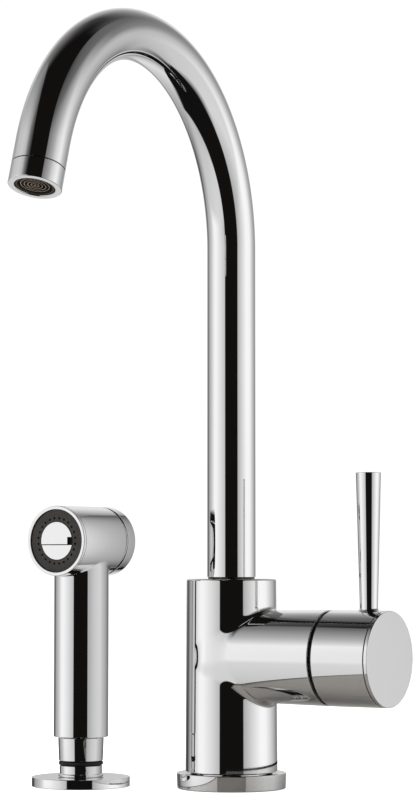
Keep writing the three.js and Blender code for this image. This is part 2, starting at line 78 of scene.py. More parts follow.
class Nodes:
    """Adds shader nodes to a tree and joins them up."""

    def __init__(self, tree):
        self.tree = tree
        tree.nodes.clear()

    def add(self, kind, **settings):
        node = self.tree.nodes.new(kind)
        for key, value in settings.items():
            setattr(node, key, value)
        return node

    def link(self, source, target):
        self.tree.links.new(source, target)

    def math(self, operation, *values, clamp=False):
        node = self.add("ShaderNodeMath", operation=operation, use_clamp=clamp)
        for socket, value in zip(node.inputs, values):
            if isinstance(value, (int, float)):
                socket.default_value = value
            else:
                self.link(value, socket)
        return node.outputs[0]

    def ramp(self, factor, stops):
        """A colour ramp whose stops are (position, brightness or colour)."""
        node = self.add("ShaderNodeValToRGB")
        elements = node.color_ramp.elements
        while len(elements) < len(stops):
            elements.new(0.5)
        for element, (position, value) in zip(elements, stops):
            element.position = position
            element.color = (*value, 1) if isinstance(value, tuple) else (value, value, value, 1)
        self.link(factor, node.inputs[0])
        return node.outputs[0]

    def mix(self, factor, first, second):
        """Goes from the first colour to the second as the factor goes from 0 to 1."""
        node = self.add("ShaderNodeMix", data_type="RGBA")
        for socket, value in ((node.inputs[0], factor), (node.inputs[6], first), (node.inputs[7], second)):
            if isinstance(value, (int, float)):
                socket.default_value = value
            elif isinstance(value, tuple):
                socket.default_value = (*value, 1)
            else:
                self.link(value, socket)
        return node.outputs[2]


# Brightness of the cloths round the room, by degrees to the right of the camera's own direction, at
# a few heights in degrees above the horizon. 0 is the side that the camera stands on.
TIERS = [
    (-75, [(-180, 0.01), (-150, 0.2), (-110, 0.5), (-80, 0.4), (-60, 0.05), (-40, 0.006), (180, 0.01)]),
    (-60, [(-180, 0.3), (-165, 0.46), (-60, 0.5), (-45, 0.02), (45, 0.006), (165, 0.02), (180, 0.4)]),
    (-46, [(-180, 0.72), (-135, 0.5), (-60, 0.62), (-38, 0.66), (40, 0.5), (75, 0.68), (120, 0.6),
           (138, 0.5), (142, 0.02), (160, 0.02), (168, 0.5), (180, 0.72)]),
    (-12, [(-180, 0.74), (-150, 0.34), (-135, 0.2), (-105, 0.6), (-60, 0.7), (-35, 0.64), (35, 0.42),
           (75, 0.72), (120, 0.6), (148, 0.4), (153, 0.1), (162, 0.12), (172, 0.6), (180, 0.74)]),
    (-5, [(-180, 0.32), (-168, 0.28), (-160, 0.14), (-152, 0.06), (-144, 0.03), (-129, 0.37), (-112, 0.5),
          (-104, 0.6), (-96, 0.8), (-88, 0.95), (-74, 0.92), (-48, 0.69), (-33, 0.52), (32, 0.42),
          (48, 0.62), (66, 0.82), (80, 0.97), (95, 0.95), (122, 0.6), (142, 0.32), (151, 0.18),
          (160, 0.3), (168, 0.46), (180, 0.34)]),
    (12, [(-180, 0.8), (-160, 0.5), (-146, 0.2), (-129, 0.4), (-96, 0.8), (-80, 0.96), (-33, 0.6),
          (33, 0.5), (75, 0.97), (100, 0.92), (122, 0.5), (148, 0.3), (160, 0.4), (180, 0.8)]),
    (25, [(-180, 0.78), (-150, 0.6), (-135, 0.45), (-105, 0.62), (-66, 0.88), (-40, 0.6), (40, 0.3),
          (75, 0.45), (100, 0.5), (115, 0.22), (150, 0.25), (162, 0.7), (180, 0.78)]),
    (40, [(-180, 0.42), (-140, 0.2), (-120, 0.36), (-90, 0.5), (-70, 0.42), (-60, 0.2), (-45, 0.05),
          (45, 0.1), (60, 0.13), (140, 0.14), (160, 0.3), (180, 0.42)]),
    (58, [(-180, 0.06), (-150, 0.17), (-90, 0.13), (-60, 0.06), (-45, 0.02), (60, 0.03), (90, 0.1),
          (120, 0.12), (140, 0.06), (180, 0.06)]),
    (75, [(-180, 0.04), (-105, 0.06), (-70, 0.015), (150, 0.01), (180, 0.04)]),
    (90, [(-180, 0.01), (180, 0.01)]),
]
# The black cloth is a band that runs from under the table, past the camera and over the top. Its half
# width and its soft edge are shares of the room's, and its ends are set by the angle over the top.
BAND_EDGE, BAND_SOFT = 0.5, 0.03
CLOTH_BLACK = (0.006, 0.0055, 0.005)
BAND_ROLL = [(-180, 0.0), (-132, 0.0), (-124, 1.0), (98, 1.0), (106, 0.7), (118, 0.3), (132, 0.0),
             (180, 0.0)]

world = bpy.data.worlds.new("studio")
bpy.context.scene.world = world
world.use_nodes = True
sky = Nodes(world.node_tree)
direction = sky.add("ShaderNodeTexCoord").outputs["Generated"]
turn = sky.add("ShaderNodeMapping", vector_type="POINT")
turn.inputs["Rotation"].default_value = (0, 0, -CAMERA_SIDE)
sky.link(direction, turn.inputs["Vector"])
parts = sky.add("ShaderNodeSeparateXYZ")
sky.link(turn.outputs[0], parts.inputs[0])
toward = sky.math("MULTIPLY", parts.outputs["Y"], -1)
compass = sky.math("MULTIPLY_ADD", sky.math("ARCTAN2", parts.outputs["X"], toward), 1 / tau, 0.5)
height = sky.math("MULTIPLY", sky.math("ARCSINE", parts.outputs["Z"]), 180 / pi)
roll = sky.math("MULTIPLY_ADD", sky.math("ARCTAN2", parts.outputs["Z"], toward), 1 / tau, 0.5)


def round_the_room(stops):
    """Stops given by angle, from -180 to 180 degrees, as stops from 0 to 1."""
    return [((angle + 180) / 360, value) for angle, value in stops]


cloths = (0.006, 0.006, 0.006)
lower = -90
for tier, stops in TIERS:
    climb = sky.math("MULTIPLY_ADD", height, 1 / (tier - lower), -lower / (tier - lower), clamp=True)
    cloths = sky.mix(climb, cloths, sky.ramp(compass, round_the_room(stops)))
    lower = tier
sideways = sky.math("ABSOLUTE", parts.outputs["X"])
inside_band = sky.math("MULTIPLY_ADD", sideways, -1 / BAND_SOFT, BAND_EDGE / BAND_SOFT + 0.5, clamp=True)
band = sky.math("MULTIPLY", inside_band, sky.ramp(roll, round_the_room(BAND_ROLL)))
room = sky.mix(band, cloths, CLOTH_BLACK)
seen = sky.add("ShaderNodeLightPath").outputs["Is Camera Ray"]
backdrop_light = sky.add("ShaderNodeBackground")
sky.link(sky.mix(seen, room, (1.0, 1.0, 1.0)), backdrop_light.inputs["Color"])
backdrop_light.inputs["Strength"].default_value = 1.04
sky.link(backdrop_light.outputs[0], sky.add("ShaderNodeOutputWorld").inputs["Surface"])

# A big soft light overhead keeps the floor white. The chrome doesn't see it.
overhead_data = bpy.data.lights.new("overhead_softbox", "AREA")
overhead_data.shape = "SQUARE"
overhead_data.size = 2.4
overhead_data.energy = 40
overhead = bpy.data.objects.new("overhead_softbox", overhead_data)
overhead.location = (0.2, -0.5, 1.8)
overhead.rotation_euler = (Vector((0, 0, 0.1)) - overhead.location).to_track_quat("-Z", "Y").to_euler()
overhead.visible_glossy = False
overhead.visible_camera = False
bpy.context.collection.objects.link(overhead)

floor_mesh = bmesh.new()
bmesh.ops.create_grid(floor_mesh, x_segments=1, y_segments=1, size=6)
bmesh.ops.translate(floor_mesh, verts=floor_mesh.verts, vec=(0, 0, -0.0002))
floor_data = bpy.data.meshes.new("floor")
floor_mesh.to_mesh(floor_data)
floor_mesh.free()
floor = bpy.data.objects.new("floor", floor_data)
bpy.context.collection.objects.link(floor)
floor.visible_glossy = False
paper = bpy.data.materials.new("floor_paper")
paper.use_nodes = True
sheet = Nodes(paper.node_tree)
paper_shader = sheet.add("ShaderNodeBsdfPrincipled")
paper_shader.inputs["Base Color"].default_value = (0.9, 0.9, 0.9, 1)
paper_shader.inputs["Roughness"].default_value = 0.9
paper_shader.inputs["Emission Color"].default_value = (1, 1, 1, 1)
paper_shader.inputs["Emission Strength"].default_value = 0.8
sheet.link(paper_shader.outputs[0], sheet.add("ShaderNodeOutputMaterial").inputs["Surface"])
floor_data.materials.append(paper)

# The table top and two small cards are what the chrome sees close to it. The camera sees none of them,
# and each is seen only from within its reach, so the spout overhead stays clear of them.


def studio_card(name, shape, *, reach, near=0.0, one_sided=False, roughness=0.9):
    """A stage piece that shows in reflections only, between two distances, and fades out over 25 mm past
    the far one. Returns its shader tree and its surface shader."""
    data = bpy.data.meshes.new(name)
    shape.to_mesh(data)
    shape.free()
    card = bpy.data.objects.new(name, data)
    bpy.context.collection.objects.link(card)
    card.visible_camera = False
    card.visible_diffuse = False
    card.visible_shadow = False
    material = bpy.data.materials.new(name)
    material.use_nodes = True
    tree = Nodes(material.node_tree)
    surface = tree.add("ShaderNodeBsdfPrincipled")
    surface.inputs["Roughness"].default_value = roughness
    surface.inputs["Specular IOR Level"].default_value = 0
    fade = 0.025
    length = tree.add("ShaderNodeLightPath").outputs["Ray Length"]
    hidden = tree.math("MULTIPLY_ADD", length, 1 / fade, -reach / fade, clamp=True)
    if near:
        hidden = tree.math("MAXIMUM", tree.math("LESS_THAN", length, near), hidden)
    if one_sided:
        hidden = tree.math("MAXIMUM", tree.add("ShaderNodeNewGeometry").outputs["Backfacing"], hidden)
    either = tree.add("ShaderNodeMixShader")
    tree.link(hidden, either.inputs[0])
    tree.link(surface.outputs[0], either.inputs[1])
    tree.link(tree.add("ShaderNodeBsdfTransparent").outputs[0], either.inputs[2])
    tree.link(either.outputs[0], tree.add("ShaderNodeOutputMaterial").inputs["Surface"])
    data.materials.append(material)
    return tree, surface


# The table is warm grey, with a dark line, a lighter border and a black edge. It stops short of the
# hand spray, on a line that runs away from the camera.
TABLE_RADIUS, TABLE_SIDE, SIDE_EDGE = 0.2, -0.038, 60.0
TABLE_GLOSS = 0.5
table_shape = bmesh.new()
bmesh.ops.create_circle(table_shape, cap_ends=True, segments=96, radius=TABLE_RADIUS)
bmesh.ops.translate(table_shape, verts=table_shape.verts, vec=(0, 0, -0.0001))
across = Matrix.Rotation(CAMERA_SIDE, 3, "Z") @ Vector((1, 0, 0))
whole_table = table_shape.verts[:] + table_shape.edges[:] + table_shape.faces[:]
bmesh.ops.bisect_plane(table_shape, geom=whole_table, plane_co=across * TABLE_SIDE, plane_no=across,
                       clear_inner=True)
board, board_shader = studio_card("table_top", table_shape, reach=0.25, roughness=0.12)
out_from_middle = board.add("ShaderNodeVectorMath", operation="LENGTH")
on_table = board.add("ShaderNodeTexCoord").outputs["Object"]
board.link(on_table, out_from_middle.inputs[0])
to_rim = board.math("MULTIPLY", out_from_middle.outputs["Value"], 1 / TABLE_RADIUS)
from_side = board.add("ShaderNodeVectorMath", operation="DOT_PRODUCT")
from_side.inputs[1].default_value = across
board.link(on_table, from_side.inputs[0])
to_side = board.math("MULTIPLY_ADD", from_side.outputs["Value"], -SIDE_EDGE, 1 + SIDE_EDGE * TABLE_SIDE)
out_share = board.math("MAXIMUM", to_rim, to_side)
board.link(board.ramp(out_share, [
    (0.0, (0.34, 0.325, 0.3)), (0.68, (0.3, 0.285, 0.26)), (0.7, (0.07, 0.065, 0.06)),
    (0.73, (0.14, 0.135, 0.125)), (0.88, (0.24, 0.23, 0.21)), (0.9, (0.005, 0.005, 0.005)),
]), board_shader.inputs["Base Color"])
board.link(board.ramp(out_share, [(0.88, TABLE_GLOSS), (0.9, 0.0)]),
           board_shader.inputs["Specular IOR Level"])

# A white card beside the hand spray keeps the mixer out of its side. It is seen from that side only,
# and is brightest at its middle and dark at the back.
CARD_PLACE, CARD_HEIGHT = -0.041, 0.2
CARD_NEAR, CARD_FAR = -0.06, 0.062
card_shape = bmesh.new()
bmesh.ops.create_grid(card_shape, x_segments=1, y_segments=1, size=0.5)
bmesh.ops.transform(card_shape, verts=card_shape.verts, matrix=(
    Matrix.Rotation(CAMERA_SIDE, 4, "Z")
    @ Matrix.Translation((CARD_PLACE, (CARD_NEAR + CARD_FAR) / 2, CARD_HEIGHT / 2 + 0.001))
    @ Matrix.Diagonal((1, CARD_FAR - CARD_NEAR, CARD_HEIGHT, 1)) @ Matrix.Rotation(-pi / 2, 4, "Y")
))
white_card, card_shader = studio_card("side_card", card_shape, reach=0.09, one_sided=True)
card_turn = white_card.add("ShaderNodeMapping", vector_type="POINT")
card_turn.inputs["Rotation"].default_value = (0, 0, -CAMERA_SIDE)
white_card.link(white_card.add("ShaderNodeTexCoord").outputs["Object"], card_turn.inputs["Vector"])
card_parts = white_card.add("ShaderNodeSeparateXYZ")
white_card.link(card_turn.outputs[0], card_parts.inputs[0])
along_card = white_card.math("MULTIPLY_ADD", card_parts.outputs["Y"], 1 / (CARD_FAR - CARD_NEAR),
                             -CARD_NEAR / (CARD_FAR - CARD_NEAR))
white_card.link(white_card.ramp(along_card, [
    (0.0, 0.42), (0.17, 0.5), (0.33, 0.62), (0.49, 0.7), (0.61, 0.5), (0.74, 0.36), (0.86, 0.2),
    (1.0, 0.08),
]), card_shader.inputs["Emission Color"])
card_shader.inputs["Base Color"].default_value = (0, 0, 0, 1)
card_shader.inputs["Emission Strength"].default_value = 1.0

# A black card round the riser keeps the mixer out of the underside of the arch. Its near limit keeps
# it out of the riser itself.
BLACK_RADIUS, BLACK_HEIGHT = 0.09, 0.2
black_shape = bmesh.new()
bmesh.ops.create_circle(black_shape, cap_ends=True, segments=64, radius=BLACK_RADIUS)
bmesh.ops.translate(black_shape, verts=black_shape.verts, vec=(-0.01, 0, BLACK_HEIGHT))
_, black_shader = studio_card("riser_card", black_shape, reach=0.26, near=0.11, one_sided=True)
black_shader.inputs["Base Color"].default_value = (0.006, 0.006, 0.006, 1)

# ---------------------------------------------------------------------------------------------------
# Base ring: a turned brass ring, chrome plated, standing loose round the foot of the body. Its side
# leans in a little towards the counter, and a ring is sunk in its foot for the gasket.
# ---------------------------------------------------------------------------------------------------
MM = 0.001


def plated(name, colour=(0.93, 0.93, 0.935), smoothness=0.02, haze=0.035, grain=260):
    """Polished chrome plate over brass: a mirror with a faint cloudiness and a hint of polishing marks."""
    material = bpy.data.materials.new(name)
    material.use_nodes = True
    plate = Nodes(material.node_tree)
    shader = plate.add("ShaderNodeBsdfPrincipled")
    shader.inputs["Metallic"].default_value = 1.0
    place = plate.add("ShaderNodeTexCoord").outputs["Object"]
    cloud = plate.add("ShaderNodeTexNoise")
    cloud.inputs["Scale"].default_value = 38
    cloud.inputs["Detail"].default_value = 3
    plate.link(place, cloud.inputs["Vector"])
    fine = plate.add("ShaderNodeTexNoise")
    fine.inputs["Scale"].default_value = grain
    fine.inputs["Detail"].default_value = 4
    plate.link(place, fine.inputs["Vector"])
    tone = plate.ramp(cloud.outputs["Fac"], [
        (0.3, tuple(channel * 0.985 for channel in colour)), (0.7, colour),
    ])
    plate.link(tone, shader.inputs["Base Color"])
    wear = plate.math("MULTIPLY", cloud.outputs["Fac"], fine.outputs["Fac"])
    plate.link(plate.math("MULTIPLY_ADD", wear, haze, smoothness), shader.inputs["Roughness"])
    relief = plate.add("ShaderNodeBump")
    relief.inputs["Strength"].default_value = 0.02
    relief.inputs["Distance"].default_value = 0.00002
    plate.link(fine.outputs["Fac"], relief.inputs["Height"])
    plate.link(relief.outputs[0], shader.inputs["Normal"])
    plate.link(shader.outputs[0], plate.add("ShaderNodeOutputMaterial").inputs["Surface"])
    return material


def turned(profile, place=Matrix(), steps=128, ring=False):
    """A turned shape about +Z from its (radius, height) profile in millimetres, moved to its place."""
    shape = bmesh.new()
    points = [shape.verts.new((radius * MM, 0, height * MM)) for radius, height in profile]
    edges = [shape.edges.new(pair) for pair in zip(points, points[1:])]
    if ring:
        edges.append(shape.edges.new((points[-1], points[0])))
    bmesh.ops.spin(shape, geom=points + edges, cent=(0, 0, 0), axis=(0, 0, 1), angle=tau, steps=steps,
                   use_merge=True)
    bmesh.ops.remove_doubles(shape, verts=shape.verts, dist=1e-7)
    bmesh.ops.recalc_face_normals(shape, faces=shape.faces)
    bmesh.ops.transform(shape, matrix=place, verts=shape.verts)
    return shape


def as_object(name, shape):
    """A mesh object of the shape, smooth but for its corners."""
    data = bpy.data.meshes.new(name)
    shape.to_mesh(data)
    shape.free()
    for face in data.polygons:
        face.use_smooth = True
    data.set_sharp_from_angle(angle=radians(35))
    piece = bpy.data.objects.new(name, data)
    bpy.context.collection.objects.link(piece)
    return piece


def fit(piece, material, slot, body, *nodes):
    """Gives a piece its finish and puts it on its body in place of its CAD nodes."""
    piece.data.materials.clear()
    piece.data.materials.append(material)
    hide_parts(*nodes)
    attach(piece, body)
    return piece


def ease_edges(piece, width=0.25, angle=30, segments=3):
    """Rounds the turned edges and keeps the faces beside them flat."""
    bevel = piece.modifiers.new("eased_edges", "BEVEL")
    bevel.width = width * MM
    bevel.segments = segments
    bevel.limit_method = "ANGLE"
    bevel.angle_limit = radians(angle)
    bevel.harden_normals = False
    normals = piece.modifiers.new("flat_faces", "WEIGHTED_NORMAL")
    normals.weight = 100
    return piece


body_chrome = plated("body_chrome")
flange_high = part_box("base_flange")[1]
flange_radius = flange_high.x / MM
flange_top = flange_high.z / MM
SPIGOT_HOLE = 22.3
SEAT_INNER, SEAT_OUTER, SEAT_DEPTH = 23.7, 27.3, 1.8
LEAN = 0.35
base_ring = turned([
    (SPIGOT_HOLE, 0), (SEAT_INNER, 0), (SEAT_INNER, SEAT_DEPTH), (SEAT_OUTER, SEAT_DEPTH), (SEAT_OUTER, 0),
    (flange_radius - LEAN, 0), (flange_radius, flange_top), (SPIGOT_HOLE, flange_top),
], steps=160, ring=True)
fit(ease_edges(as_object("base_ring", base_ring), 0.45), body_chrome, "body_chrome", "base", "base_flange")

# ---------------------------------------------------------------------------------------------------
# Body: one brass casting, a column with the valve arm growing out of its side. The corner between
# them is filled with a soft round that dies away at the front and back, where the two run level.
# ---------------------------------------------------------------------------------------------------
joints = {joint["name"]: joint for joint in frame["record"]["behaviour"]["joints"]}
body_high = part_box("mixer_body")[1]
pivot = Vector(joints["flow_tilt"]["pos_m"])
ARM_HEIGHT = pivot.z / MM
ARM_END = body_high.x / MM
COLUMN_FOOT, COLUMN_TOP = 8.9, body_high.z / MM
COLUMN_RADIUS, COLUMN_TOP_RADIUS = 25.0, 24.4
SPIGOT_RADIUS, SPIGOT_LENGTH = 20, 6
SPOUT_HOLE, SPOUT_HOLE_DEPTH = 11, 8
ARM_ROOT_RADIUS, ARM_RADIUS = 24.6, 25.4
CARTRIDGE_HOLE, CARTRIDGE_DEPTH = 19.3, 12
TOP_ROUND, FOOT_ROUND, ARM_ROUND = 1.0, 0.5, 0.4
CORNER_BLEND, CORNER_REACH = 3.0, 3.5
MESH_STEP = 0.9
ALONG_X = Matrix.Rotation(pi / 2, 4, "Y")


def rounded(radius, height, corner, rising=True, steps=4):
    """Profile points of a rounded outer corner at (radius, height)."""
    arc = []
    for step in range(steps + 1):
        angle = radians(90 * step / steps)
        reach = (radius - corner + corner * cos(angle), corner * sin(angle))
        arc.append((reach[0], height - corner + reach[1] if rising else height + corner - reach[1]))
    return arc if rising else arc[::-1]


def steps_between(start, end, spacing):
    """Profile points on a straight line, close enough together for a soft corner to be laid over them."""
    (r0, h0), (r1, h1) = start, end
    count = max(2, round(hypot(r1 - r0, h1 - h0) / spacing))
    return [(r0 + (r1 - r0) * i / count, h0 + (h1 - h0) * i / count) for i in range(1, count)]


def joined(name, first, second):
    """Two overlapping solids made one."""
    piece = as_object(name, first)
    other = as_object(name + "_other", second)
    union = piece.modifiers.new("join", "BOOLEAN")
    union.operation = "UNION"
    union.solver = "EXACT"
    union.object = other
    bpy.context.view_layer.update()
    shape = bmesh.new()
    shape.from_object(piece, bpy.context.evaluated_depsgraph_get())
    bpy.data.objects.remove(other)
    bpy.data.objects.remove(piece)
    bmesh.ops.remove_doubles(shape, verts=shape.verts, dist=2e-6)
    return as_object(name, shape)


def soft_corner(piece, first, second, width, reach):
    """Blends the corner between two surfaces, each given as a function from points to their distance
    outside it: narrow where they stand square, broad where they run nearly level. The mesh is then
    shaded with its true slope."""
    count = len(piece.data.vertices)
    points = np.empty(count * 3)
    piece.data.vertices.foreach_get("co", points)
    points = points.reshape(-1, 3) / MM

    def level(where):
        out_first, out_second = first(where), second(where)
        overlap = np.maximum(width - np.abs(out_first - out_second), 0)
        return np.minimum(out_first, out_second) - overlap ** 2 / (4 * width)

    def slope(where):
        nudge = 0.01
        rows = []
        for axis in range(3):
            step = np.zeros(3)
            step[axis] = nudge
            rows.append((level(where + step) - level(where - step)) / (2 * nudge))
        return np.stack(rows, axis=1)

    passes = 8
    near = (np.abs(first(points)) < reach) & (np.abs(second(points)) < reach)
    for _ in range(passes):
        part = points[near]
        grade = slope(part)
        points[near] = part - grade * (level(part) / np.maximum((grade * grade).sum(axis=1), 0.2))[:, None]
    piece.data.vertices.foreach_set("co", (points * MM).ravel())
    piece.data.update()
    corners = np.empty(len(piece.data.loops), dtype=int)
    piece.data.loops.foreach_get("vertex_index", corners)
    normals = np.array([tuple(normal.vector) for normal in piece.data.corner_normals])
    grade = slope(points)
    grade /= np.maximum(np.linalg.norm(grade, axis=1), 1e-9)[:, None]
    on_skin = (np.abs(level(points))[corners] < 0.02) & ((grade[corners] * normals).sum(axis=1) > 0.94)
    normals[on_skin] = grade[corners][on_skin]
    piece.data.normals_split_custom_set(normals.tolist())


def column_radius(height):
    """The column narrows a little towards its top."""
    along = (height - COLUMN_FOOT) / (COLUMN_TOP - COLUMN_FOOT)
    return COLUMN_RADIUS + (COLUMN_TOP_RADIUS - COLUMN_RADIUS) * along


column_profile = [(0, COLUMN_FOOT - SPIGOT_LENGTH), (SPIGOT_RADIUS, COLUMN_FOOT - SPIGOT_LENGTH),
                  (SPIGOT_RADIUS, COLUMN_FOOT), (COLUMN_RADIUS - FOOT_ROUND - 0.1, COLUMN_FOOT)]
column_profile += rounded(COLUMN_RADIUS, COLUMN_FOOT, FOOT_ROUND, rising=False)
column_profile += steps_between((COLUMN_RADIUS, COLUMN_FOOT + FOOT_ROUND),
                                (COLUMN_TOP_RADIUS, COLUMN_TOP - TOP_ROUND), MESH_STEP)
column_profile += rounded(COLUMN_TOP_RADIUS, COLUMN_TOP, TOP_ROUND)
column_profile += [(COLUMN_TOP_RADIUS - TOP_ROUND - 0.2, COLUMN_TOP), (SPOUT_HOLE, COLUMN_TOP),
                   (SPOUT_HOLE, COLUMN_TOP - SPOUT_HOLE_DEPTH), (0, COLUMN_TOP - SPOUT_HOLE_DEPTH)]
arm_profile = [(0, 0), (ARM_ROOT_RADIUS, 0)]
arm_profile += steps_between((ARM_ROOT_RADIUS, 0), (ARM_RADIUS, ARM_END - ARM_ROUND), MESH_STEP)
arm_profile += rounded(ARM_RADIUS, ARM_END, ARM_ROUND)
arm_profile += [(ARM_RADIUS - ARM_ROUND - 0.2, ARM_END), (CARTRIDGE_HOLE, ARM_END),
                (CARTRIDGE_HOLE, ARM_END - CARTRIDGE_DEPTH), (0, ARM_END - CARTRIDGE_DEPTH)]
at_arm = Matrix.Translation((0, 0, ARM_HEIGHT * MM)) @ ALONG_X
casting = joined("body_casting", turned(column_profile, steps=192), turned(arm_profile, at_arm, steps=192))


def off_column(points):
    """Distance outside the column."""
    return np.hypot(points[:, 0], points[:, 1]) - column_radius(points[:, 2])


def off_arm(points):
    """Distance outside the arm, which falls away behind the column's middle so that it ends there."""
    radius = ARM_ROOT_RADIUS + (ARM_RADIUS - ARM_ROOT_RADIUS) * points[:, 0] / ARM_END
    behind = np.minimum(points[:, 0], 0.0)
    return np.hypot(points[:, 1], points[:, 2] - ARM_HEIGHT) - radius + 0.05 * behind ** 2


soft_corner(casting, off_column, off_arm, CORNER_BLEND, CORNER_REACH)
fit(casting, body_chrome, "body_chrome", "base", "mixer_body")

# ---------------------------------------------------------------------------------------------------
# Arm dome: a spun and plated cover over the cartridge. The handle's rim swings round it, so it shows as a
# dark line in the gap, and more of it when the lever is tilted. Its plain rim in the gap is painted black as
# painted shade.
# ---------------------------------------------------------------------------------------------------
DOME_RADIUS, DOME_WALL = 30.0, 1.6
DOME_MOUTH, DOME_BORE, DOME_RIM = 15.2, 22, 23.9
RIM_HEIGHT = 17.8
DOME_SEAM = 0.3
PIVOT = pivot.x / MM


def ball_arc(radius, start, end, steps, centre):
    """Profile points of a ball about (0, centre), between two distances from the axis."""
    arc = []
    for step in range(steps + 1):
        angle = asin(start / radius) + (asin(end / radius) - asin(start / radius)) * step / steps
        arc.append((radius * sin(angle), centre + radius * cos(angle)))
    return arc


def moulded(name, dark, light, roughness=0.45, scale=900):
    """A dull moulding: its skin has a fine pebble and a slight unevenness of tone."""
    material = bpy.data.materials.new(name)
    material.use_nodes = True
    skin_nodes = Nodes(material.node_tree)
    shader = skin_nodes.add("ShaderNodeBsdfPrincipled")
    shader.inputs["Specular IOR Level"].default_value = 0.35
    place = skin_nodes.add("ShaderNodeTexCoord").outputs["Object"]
    pebble = skin_nodes.add("ShaderNodeTexNoise")
    pebble.inputs["Scale"].default_value = scale
    pebble.inputs["Detail"].default_value = 3
    skin_nodes.link(place, pebble.inputs["Vector"])
    patch = skin_nodes.add("ShaderNodeTexNoise")
    patch.inputs["Scale"].default_value = 90
    skin_nodes.link(place, patch.inputs["Vector"])
    skin_nodes.link(skin_nodes.ramp(patch.outputs["Fac"], [(0.3, dark), (0.7, light)]),
                    shader.inputs["Base Color"])
    skin_nodes.link(skin_nodes.math("MULTIPLY_ADD", pebble.outputs["Fac"], 0.16, roughness - 0.08),
                    shader.inputs["Roughness"])
    relief = skin_nodes.add("ShaderNodeBump")
    relief.inputs["Strength"].default_value = 0.25
    relief.inputs["Distance"].default_value = 0.00005
    skin_nodes.link(pebble.outputs["Fac"], relief.inputs["Height"])
    skin_nodes.link(relief.outputs[0], shader.inputs["Normal"])
    skin_nodes.link(shader.outputs[0], skin_nodes.add("ShaderNodeOutputMaterial").inputs["Surface"])
    return material


dome_profile = [(DOME_BORE, ARM_END + DOME_SEAM), (DOME_RIM, ARM_END + DOME_SEAM)]
dome_profile += ball_arc(DOME_RADIUS, DOME_RIM, DOME_MOUTH, 16, PIVOT)
dome_profile += ball_arc(DOME_RADIUS - DOME_WALL, DOME_MOUTH, DOME_BORE, 10, PIVOT)
dome = as_object("dome", turned(dome_profile, at_arm, ring=True))
fit(ease_edges(dome, 0.2, 40), body_chrome, "body_chrome", "base", "arm_dome")
# A near-black moulding laid over plated faces deep in narrow gaps: painted shade, not the metal's own
# colour.
gap_painted_shade = moulded("groove_painted_shade", (0.004, 0.004, 0.004), (0.009, 0.009, 0.009), 0.6)
dome.data.materials.append(gap_painted_shade)
for face in dome.data.polygons:
    # The plain rim at the foot of the plated dome is painted black, a painted shade, so the groove reads as
    # a dark line.
    if abs(face.normal.x) < 0.1 and face.center.x < (PIVOT + RIM_HEIGHT) * MM:
        face.material_index = 1

# ---------------------------------------------------------------------------------------------------
# Handle: a turned barrel in line with the arm, closed by a thin plated disc behind a fine seam, with
# a tapered lever screwed into its top. The lever's foot flares out to meet the barrel.
# ---------------------------------------------------------------------------------------------------
handle_chrome = plated("handle_chrome")
face_chrome = plated("face_chrome", (0.94, 0.94, 0.94), 0.06, 0.05, 420)
HANDLE_SEAT, HANDLE_RIM = 30.9, 0.5
HANDLE_BORE, HANDLE_WEB = 21.5, 78
RECESS_RADIUS, RECESS_DEPTH = 21, 2.6
CAP_THICKNESS, CAP_SEAM = 2.0, 0.4
CAP_SPIGOT, CAP_SPIGOT_LENGTH = 20.7, 2
cap_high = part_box("handle_cap")[1].x / MM
barrel_end = cap_high - CAP_THICKNESS - CAP_SEAM
seat = ball_arc(HANDLE_SEAT, HANDLE_BORE, ARM_RADIUS - HANDLE_RIM, 10, PIVOT)
barrel_profile = [(0, HANDLE_WEB), (HANDLE_BORE, HANDLE_WEB)] + seat
barrel_profile += [(ARM_RADIUS, seat[-1][1]), (ARM_RADIUS, barrel_end), (RECESS_RADIUS, barrel_end),
                   (RECESS_RADIUS, barrel_end - RECESS_DEPTH), (0, barrel_end - RECESS_DEPTH)]
barrel = as_object("handle_barrel_turned", turned(barrel_profile, at_arm, steps=160))
fit(ease_edges(barrel, 0.2), handle_chrome, "handle_chrome", "handle", "handle_barrel")

cap_back = cap_high - CAP_THICKNESS
cap_profile = [(0, cap_back - CAP_SPIGOT_LENGTH), (CAP_SPIGOT, cap_back - CAP_SPIGOT_LENGTH),
               (CAP_SPIGOT, cap_back), (ARM_RADIUS, cap_back), (ARM_RADIUS, cap_high), (0, cap_high)]
cap = as_object("handle_end_disc", turned(cap_profile, at_arm, steps=160))
fit(ease_edges(cap, 0.3), face_chrome, "face_chrome", "handle", "handle_cap")

lever_low, lever_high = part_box("lever_rod")
LEVER_AT = (lever_low.x + lever_high.x) / 2
LEVER_TOP = lever_high.z / MM - ARM_HEIGHT
LEVER_TOP_RADIUS = (lever_high.x - lever_low.x) / 2 / MM
LEVER_FOOT_RADIUS = 4.75
LEVER_FOOT = ARM_RADIUS + 0.05
FLARE, FLARE_STEPS = 1.5, 8
lever_profile = [(0, LEVER_FOOT)]
for step in range(FLARE_STEPS + 1):
    angle = radians(90 * step / FLARE_STEPS)
    flare_radius = LEVER_FOOT_RADIUS + FLARE * (1 - sin(angle))
    lever_profile.append((flare_radius, LEVER_FOOT + FLARE * (1 - cos(angle))))
lever_profile += [(LEVER_TOP_RADIUS, LEVER_TOP), (0, LEVER_TOP)]
lever_shape = turned(lever_profile, steps=96)
for corner in lever_shape.verts:
    # The foot follows the round of the barrel under it.
    if corner.co.z < (ARM_RADIUS + FLARE + 0.1) * MM:
        corner.co.z -= ARM_RADIUS * MM - sqrt((ARM_RADIUS * MM) ** 2 - corner.co.y ** 2)
bmesh.ops.translate(lever_shape, verts=lever_shape.verts, vec=(LEVER_AT, 0, ARM_HEIGHT * MM))
lever = as_object("lever", lever_shape)
fit(ease_edges(lever, 0.35, 50), handle_chrome, "handle_chrome", "handle", "lever_rod")

